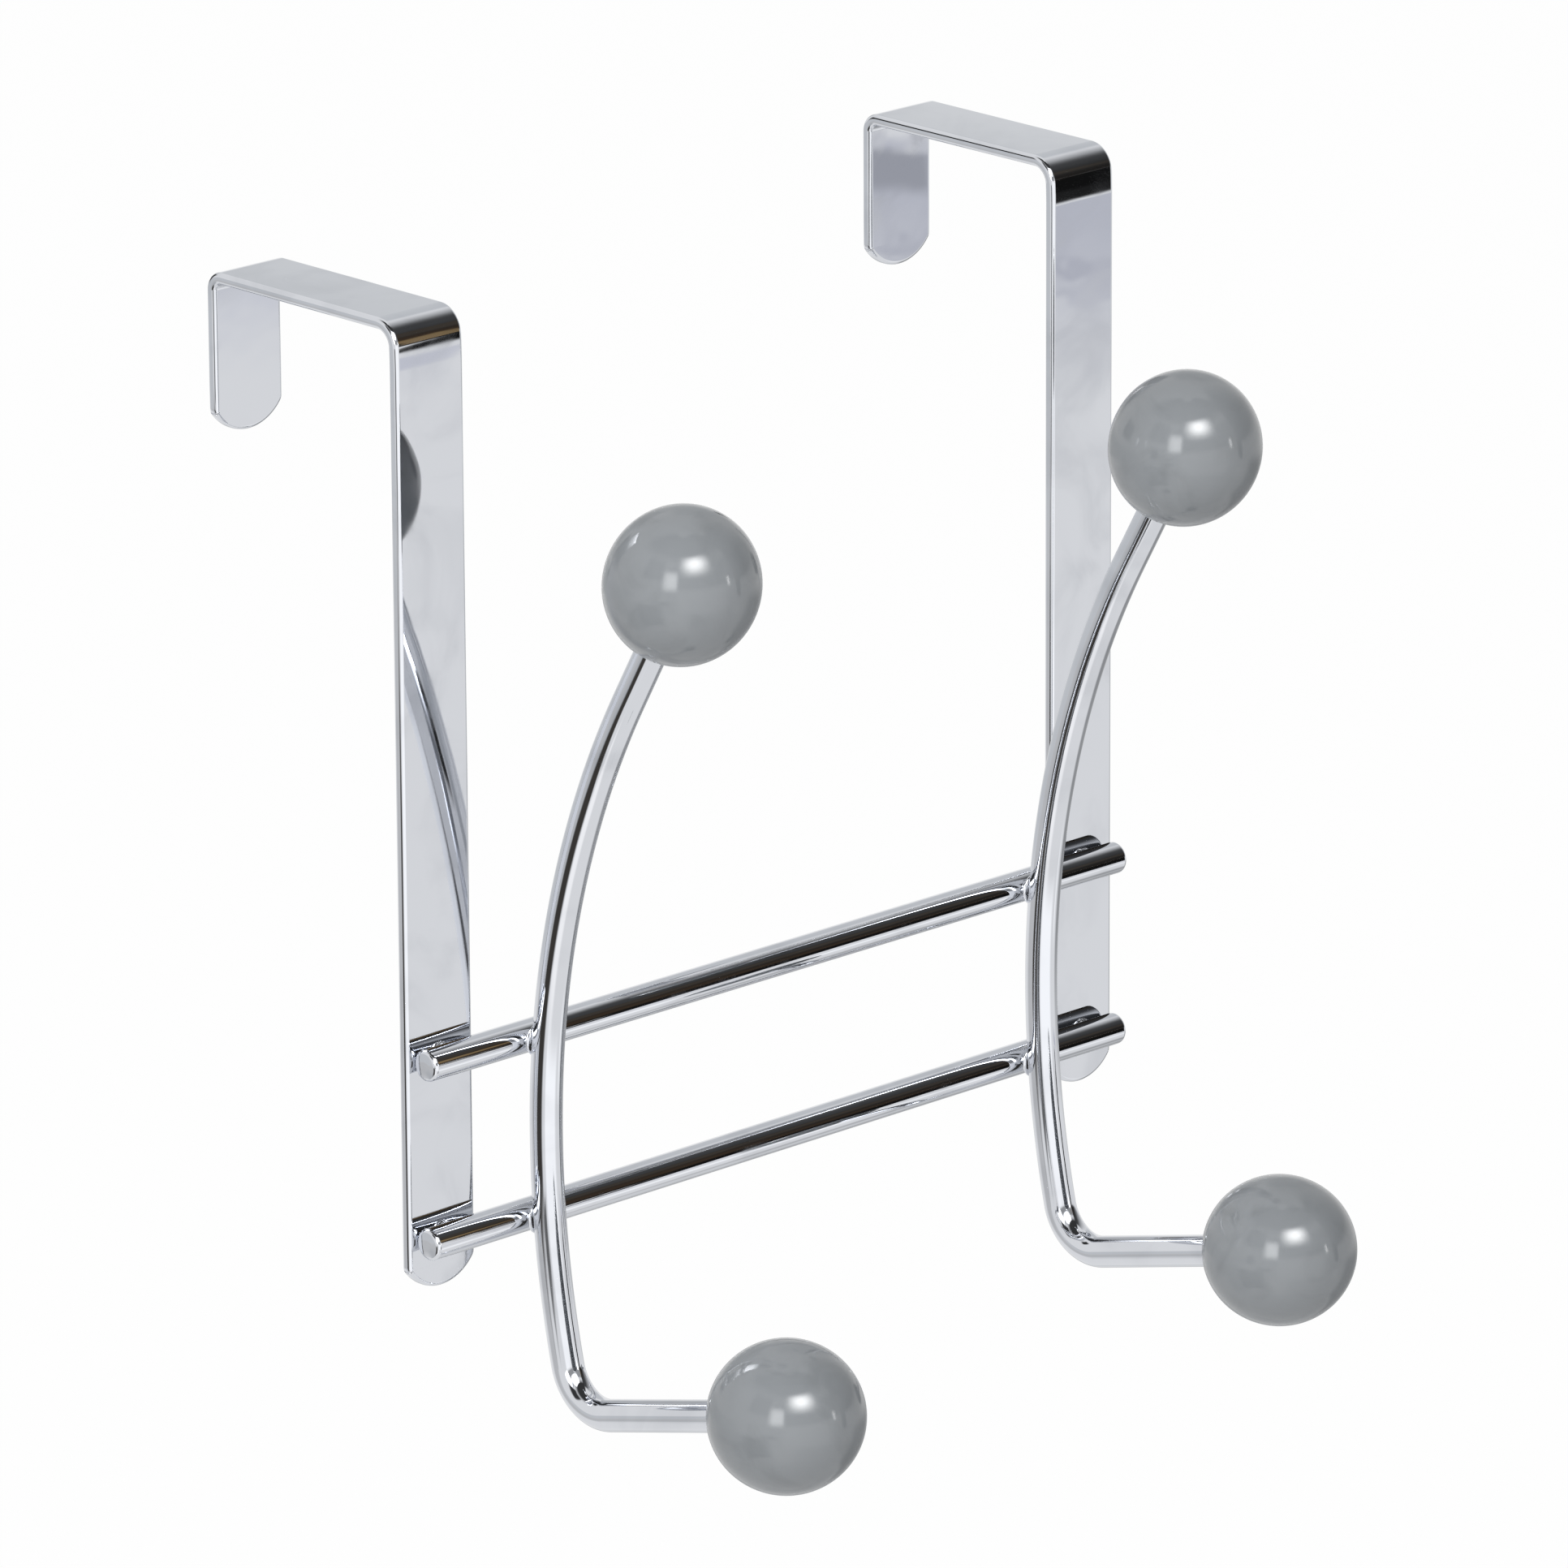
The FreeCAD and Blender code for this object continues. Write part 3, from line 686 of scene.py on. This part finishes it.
def new_material(name):
    """A new material and its main shader."""
    material = bpy.data.materials.new(name)
    material.use_nodes = True
    return material, material.node_tree.nodes["Principled BSDF"]


print("marks group puts out:", [socket.name for socket in marks_group.interface.items_tree
                                if socket.in_out == "OUTPUT"])

# %% [markdown]
# Chrome has hardly any look of its own: it is a mirror that gives back about two thirds of the
# light, a little cooler than it came. So its colour is nearly white, it is fully metallic, and it
# is almost perfectly smooth. All the rest, light and dark, comes from what stands around it.

# %% Chrome
CHROME_CLEAN = (0.64, 0.655, 0.69)
CHROME_SMEARED = (0.57, 0.585, 0.62)

chrome, shader = new_material("chrome_plate")
shader.inputs["Metallic"].default_value = 1.0
add_marks(chrome, shader, CHROME_CLEAN, CHROME_SMEARED, smear_size=45.0, wave_size=120.0,
          low_roughness=0.02, high_roughness=0.09, wave_height=0.9)
print("chrome gives back", CHROME_CLEAN, "of red, green and blue, and", CHROME_SMEARED, "in a smear")

# %% [markdown]
# The balls are moulded in mid grey and polished, but softer than the metal: a lamp shows in them
# as a bright patch with a blurred edge. That is roughness, not another lamp.

# %% Ball plastic
PLASTIC_CLEAN = (0.30, 0.318, 0.336)
PLASTIC_SMEARED = (0.268, 0.285, 0.30)

plastic, shader = new_material("grey_plastic")
shader.inputs["IOR"].default_value = 1.45
add_marks(plastic, shader, PLASTIC_CLEAN, PLASTIC_SMEARED, smear_size=90.0, wave_size=70.0,
          low_roughness=0.09, high_roughness=0.15, wave_height=1.5)

for name, piece in pieces.items():
    piece.data.materials.clear()
    piece.data.materials.append(plastic if name.startswith("ball") else chrome)
print("finished in", chrome.name, "or", plastic.name, ":", len(pieces), "pieces")

# %% [markdown]
# The room is white. Its floor glows a little for the camera, so that the picture's background is
# white without any more light on the rack, and the share that doesn't glow keeps the shadow. The
# light that falls on the rack from all round is weaker than the white that the camera and the
# mirrors see, which Light Path tells apart. Mirror rays pass the floor by and meet the same white
# further off, as in a photographer's cove that has no edge.

# %% Floor and room
FLOOR_LEVEL = -0.40
FLOOR_HALF = 1.9
FLOOR_GLOW_SHARE = 0.985
AMBIENT = 0.15


def seen_directly(tree, share):
    """A value of share for camera, mirror and glass rays, and 0 for the light that falls on things."""
    path = tree.nodes.new("ShaderNodeLightPath")
    total = path.outputs["Is Camera Ray"]
    for name in ("Is Glossy Ray", "Is Transmission Ray"):
        step = tree.nodes.new("ShaderNodeMath")
        step.operation = "MAXIMUM"
        tree.links.new(total, step.inputs[0])
        tree.links.new(path.outputs[name], step.inputs[1])
        total = step.outputs[0]
    scale = tree.nodes.new("ShaderNodeMath")
    scale.operation = "MULTIPLY"
    scale.inputs[1].default_value = share
    tree.links.new(total, scale.inputs[0])
    return scale.outputs[0]


def add_floor():
    """A white floor whose glow only the camera sees, and which mirrors pass by."""
    select_none()
    bpy.ops.mesh.primitive_plane_add(size=2 * FLOOR_HALF, location=(0, 0, FLOOR_LEVEL))
    floor = name_piece("floor")
    apply_place(floor)
    material, shader = new_material("floor_white")
    shader.inputs["Base Color"].default_value = (0.95, 0.95, 0.95, 1)
    shader.inputs["Roughness"].default_value = 1.0
    shader.inputs["Specular IOR Level"].default_value = 0.0
    tree = material.node_tree
    out = tree.nodes["Material Output"]
    glow = tree.nodes.new("ShaderNodeEmission")
    glow.inputs["Strength"].default_value = 1.0
    mix = tree.nodes.new("ShaderNodeMixShader")
    tree.links.new(shader.outputs[0], mix.inputs[1])
    tree.links.new(glow.outputs[0], mix.inputs[2])
    tree.links.new(seen_directly(tree, FLOOR_GLOW_SHARE), mix.inputs[0])
    tree.links.new(mix.outputs[0], out.inputs["Surface"])
    floor.data.materials.append(material)
    floor.visible_glossy = False
    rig.stage(floor)
    return floor


def make_world():
    """White for the camera and the mirrors, and a weaker light on everything else."""
    world = bpy.data.worlds.new("studio")
    scene.world = world
    world.use_nodes = True
    tree = world.node_tree
    background = tree.nodes["Background"]
    mix = tree.nodes.new("ShaderNodeMix")
    mix.data_type = "RGBA"
    mix.inputs["A"].default_value = (AMBIENT, AMBIENT, AMBIENT, 1)
    mix.inputs["B"].default_value = (1, 1, 1, 1)
    tree.links.new(seen_directly(tree, 1.0), mix.inputs["Factor"])
    tree.links.new(mix.outputs["Result"], background.inputs["Color"])


add_floor()
make_world()
print("floor at", FLOOR_LEVEL, "m, ambient light", AMBIENT)

# %% [markdown]
# A mirror in an all-white room is invisible. Photographers give chrome its shape with dark and
# bright cards that stand outside the picture, and their edges are soft, so they show in the metal
# as bands that fade out. Each card here is an upright sheet, rolled round the rack like a piece of a
# wide drum. It covers a span round the rack and a span of height, both in degrees, and fades to
# see-through at its borders. Nothing but a mirror can see it.

# %% Card maker
CARD_DISTANCE = 8.0
DEGREES_PER_STEP = 3
cards = []


def soft_mask(tree, soft):
    """1 in the middle of a card, falling to 0 over the given share at left, right, bottom, top."""
    place, split = tree.nodes.new("ShaderNodeTexCoord"), tree.nodes.new("ShaderNodeSeparateXYZ")
    tree.links.new(place.outputs["UV"], split.inputs[0])
    left, right, bottom, top = soft
    total = None
    for axis, start, full in (("X", 0, left), ("X", 1, 1 - right), ("Y", 0, bottom), ("Y", 1, 1 - top)):
        fade = tree.nodes.new("ShaderNodeMapRange")
        fade.interpolation_type = "SMOOTHSTEP"
        fade.inputs["From Min"].default_value = start
        fade.inputs["From Max"].default_value = full
        tree.links.new(split.outputs[axis], fade.inputs["Value"])
        if total is None:
            total = fade.outputs["Result"]
        else:
            step = tree.nodes.new("ShaderNodeMath")
            step.operation = "MULTIPLY"
            tree.links.new(total, step.inputs[0])
            tree.links.new(fade.outputs["Result"], step.inputs[1])
            total = step.outputs[0]
    return total


def card_material(name, colour, soft):
    """A glow of its own that fades to see-through at the borders."""
    material = bpy.data.materials.new(name)
    material.use_nodes = True
    tree = material.node_tree
    tree.nodes.clear()
    out, mix = tree.nodes.new("ShaderNodeOutputMaterial"), tree.nodes.new("ShaderNodeMixShader")
    clear, glow = tree.nodes.new("ShaderNodeBsdfTransparent"), tree.nodes.new("ShaderNodeEmission")
    glow.inputs["Color"].default_value = (*colour, 1)
    tree.links.new(soft_mask(tree, soft), mix.inputs[0])
    tree.links.new(clear.outputs[0], mix.inputs[1])
    tree.links.new(glow.outputs[0], mix.inputs[2])
    tree.links.new(mix.outputs[0], out.inputs["Surface"])
    material.cycles.emission_sampling = "NONE"
    return material


def add_card(name, rounds, heights, colour, soft, nearer=0.0):
    """A rolled card: spans in degrees, soft borders as shares at its left, right, bottom and top."""
    distance = CARD_DISTANCE - nearer
    low, high = (distance * tan(radians(height)) for height in heights)
    select_none()
    steps = max(2, round((rounds[1] - rounds[0]) / DEGREES_PER_STEP))
    bpy.ops.mesh.primitive_grid_add(x_subdivisions=steps, y_subdivisions=2, size=1)
    card = name_piece(name)
    for vertex in card.data.vertices:
        across, up = vertex.co.x + 0.5, vertex.co.y + 0.5
        toward = direction(radians(rounds[0] + (rounds[1] - rounds[0]) * across), 0)
        vertex.co = VIEW_TARGET + toward * distance + Vector((0, 0, low + (high - low) * up))
    card.data.materials.append(card_material(name, colour, soft))
    card.visible_camera = False
    card.visible_diffuse = False
    card.visible_shadow = False
    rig.stage(card)
    cards.append(card)


def grey(level, warm=0.0):
    """A grey of a brightness, a little warmer or, below 0, cooler than neutral."""
    return (level * (1 + warm), level, level * (1 - warm))

# %% [markdown]
# A flat mirror shows one small spot of the room, and a round bar or a fold shows a whole line of it.
# So each band on the metal tells where its card has to stand. A dark curtain to the right of the
# front makes the black bands of the folds and rails, with a pale strip under it for the top of the
# right strip. The greys at the left and behind keep the strips' sides and the stems from going
# white, and a dark ceiling darkens the bends. Nearly all cards stand far off, so that every part of
# the rack sees them in nearly the same direction. The last number brings a card nearer and so in
# front of the others. Three stand within half a metre, where only one part of the rack catches
# them: wood in the left fold, cloud in the right back leg, and dark_behind in the left stem's back,
# which the strip behind it shows.

# %% Cards in place
# The darks at the right of the front, and the pale strips under them
add_card("curtain", (38.3, 86), (0, 62), grey(0.020, 0.1), (0.03, 0.71, 0.06, 0.25), 0.3)
add_card("curtain_foot_left", (38.2, 48), (-5.5, 6), grey(0.012, 0.1), (0.08, 0.15, 0.2, 0.2), 0.3)
add_card("curtain_foot_middle", (39.3, 48), (-11.6, 6), grey(0.008), (0.07, 0.15, 0.035, 0.2), 0.35)
add_card("curtain_foot_right", (42.4, 48), (-13.5, 6), grey(0.018), (0.2, 0.15, 0.03, 0.2), 0.3)
add_card("curtain_top", (40, 88), (8, 64), grey(0.068, -0.02), (0.1, 0.71, 0.39, 0.3), 0.4)
add_card("brown_haze", (38.4, 44), (-2, 32), (0.052, 0.036, 0.024), (0.1, 0.6, 0.2, 0.3), 0.5)
add_card("brown_haze_high", (41, 51), (14, 36), (0.062, 0.052, 0.042), (0.3, 0.4, 0.4, 0.3), 0.52)
add_card("wood", (31.6, 34.9), (7.4, 24.6), (0.27, 0.187, 0.095), (0.15, 0.25, 0.08, 0.35), 7.45)
add_card("grey_wall", (50, 116), (-4, 66), grey(0.42, -0.01), (0.05, 0.6, 0.1, 0.2))
add_card("under_curtain", (42, 60), (-15.1, -13.62), (0.68, 0.69, 0.755), (0.13, 0.3, 0.8, 0.08))
add_card("under_curtain_left", (39, 42), (-15.1, -12.1), (0.80, 0.81, 0.88), (0.2, 0.2, 0.3, 0.15))
add_card("line_upper", (44.3, 46.5), (-14.38, -14.225), (0.58, 0.59, 0.66), (0.2, 0.2, 0.5, 0.5), 0.1)
add_card("line_lower", (44.3, 46.5), (-14.53, -14.39), (0.66, 0.67, 0.73), (0.2, 0.2, 0.5, 0.5), 0.1)
add_card("cloud", (52.0, 55.5), (-4.28, -2.84), (0.46, 0.47, 0.515), (0.22, 0.2, 0.36, 0.17), 7.49)
add_card("bright_rail", (40, 52), (-34, -20.5), grey(1.3), (0.3, 0.4, 0.5, 0.25))

# The darks and greys at the left, behind and below
add_card("dark_side", (-117, -68), (-44, -14.5), grey(0.055, 0.1), (0.2, 0.25, 0.15, 0.08), 0.1)
add_card("grey_side", (-90, -58), (-16, -9), grey(0.17), (0.35, 0.3, 0.1, 0.35))
add_card("dark_left", (-112, -72), (12, 46), grey(0.05), (0.2, 0.15, 0.2, 0.3))
add_card("side_grey", (-166, -106), (-32, -9), grey(0.70), (0.3, 0.2, 0.35, 0.35), -0.15)
add_card("dark_behind", (-172, -136), (15.6, 38.8), grey(0.03), (0.25, 0.25, 0.25, 0.3), 7.75)
add_card("grey_back", (-205, -116), (-17, -2), grey(0.76, -0.02), (0.1, 0.15, 0.15, 0.2), -0.1)
add_card("grey_low", (-142, -100), (-50, -18), grey(0.62, -0.02), (0.3, 0.1, 0.3, 0.2), -0.1)
add_card("behind", (110, 160), (-44, -4), grey(0.55, -0.02), (0.3, 0.3, 0.3, 0.3), -0.1)
add_card("behind_high", (140, 178), (-6, 32), grey(0.60, -0.02), (0.35, 0.35, 0.3, 0.2))
add_card("floor_behind", (68, 170), (-66, -34), grey(0.82, -0.01), (0.2, 0.2, 0.1, 0.4), -0.2)
add_card("grey_right", (56, 136), (-50, -11), grey(0.40, -0.01), (0.25, 0.4, 0.2, 0.2))
add_card("pale_back", (106, 150), (10, 52), grey(0.75, -0.02), (0.3, 0.2, 0.12, 0.3))

# The dark ceiling, and the wall and the pale floor in front
add_card("ceiling", (-160, 62), (36, 84), grey(0.05), (0.15, 0.08, 0.08, 0.02), -0.3)
add_card("front_wall", (-76, 60), (4, 40), grey(0.42, -0.01), (0.1, 0.1, 0.12, 0.3), -0.2)
add_card("bright_front", (-58, 30), (-31, 6), grey(1.4), (0.12, 0.2, 0.2, 0.15), -0.1)
add_card("bright_low", (-72, -26), (-56, -24), grey(1.3, 0.01), (0.2, 0.4, 0.2, 0.2), -0.1)

# The bright cards that make the highlights
add_card("window", (-78, -49), (0, 34), grey(7.5, -0.01), (0.4, 0.25, 0.3, 0.4), 0.2)
add_card("lamp_stripe", (24, 29), (0, 15), grey(8.0), (0.3, 0.3, 0.3, 0.3), 0.2)
add_card("lamp_front", (-55, 11), (19, 54), grey(23.0), (0.48, 0.48, 0.48, 0.48), 0.6)
print("cards round the rack:", len(cards))

# %% [markdown]
# Two lamps light the rack, a key lamp high at the front and a large, weak fill lamp to the left of
# the camera, so that the front is even and the back stays darker. What a mirror shows of the key lamp
# is the bright soft card in its place, which makes the round highlight on the balls. So the lamps
# themselves are hidden from mirrors.

# %% Lamps
def add_lamp(name, round_deg, height_deg, distance, wide, tall, power):
    """An oval lamp that shines at the target and hides from mirrors: degrees, metres and watts."""
    toward = direction(radians(round_deg), radians(height_deg))
    data = bpy.data.lights.new(name, "AREA")
    data.shape = "ELLIPSE"
    data.size, data.size_y = wide, tall
    data.energy = power
    lamp = bpy.data.objects.new(name, data)
    scene.collection.objects.link(lamp)
    lamp.location = VIEW_TARGET + toward * distance
    lamp.rotation_euler = toward.to_track_quat("Z", "Y").to_euler()
    lamp.visible_glossy = False


add_lamp("key_lamp", round_deg=-34, height_deg=44, distance=1.8, wide=0.7, tall=0.5, power=15.0)
add_lamp("fill_lamp", round_deg=-76, height_deg=31, distance=2.3, wide=1.9, tall=1.7, power=21.0)
print("lamps:", [light.name for light in bpy.data.lights])

scene.view_settings.view_transform = "Standard"

# %% [markdown]
# Last, the box of the measured model and the box of the dressed one are written down side by side.

# %% Sizes and finish
json.dump({"cad": [list(corner) for corner in cad_box],
           "visual": [list(corner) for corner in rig.bounds()]}, open("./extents.json", "w"))
print(open("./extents.json").read())
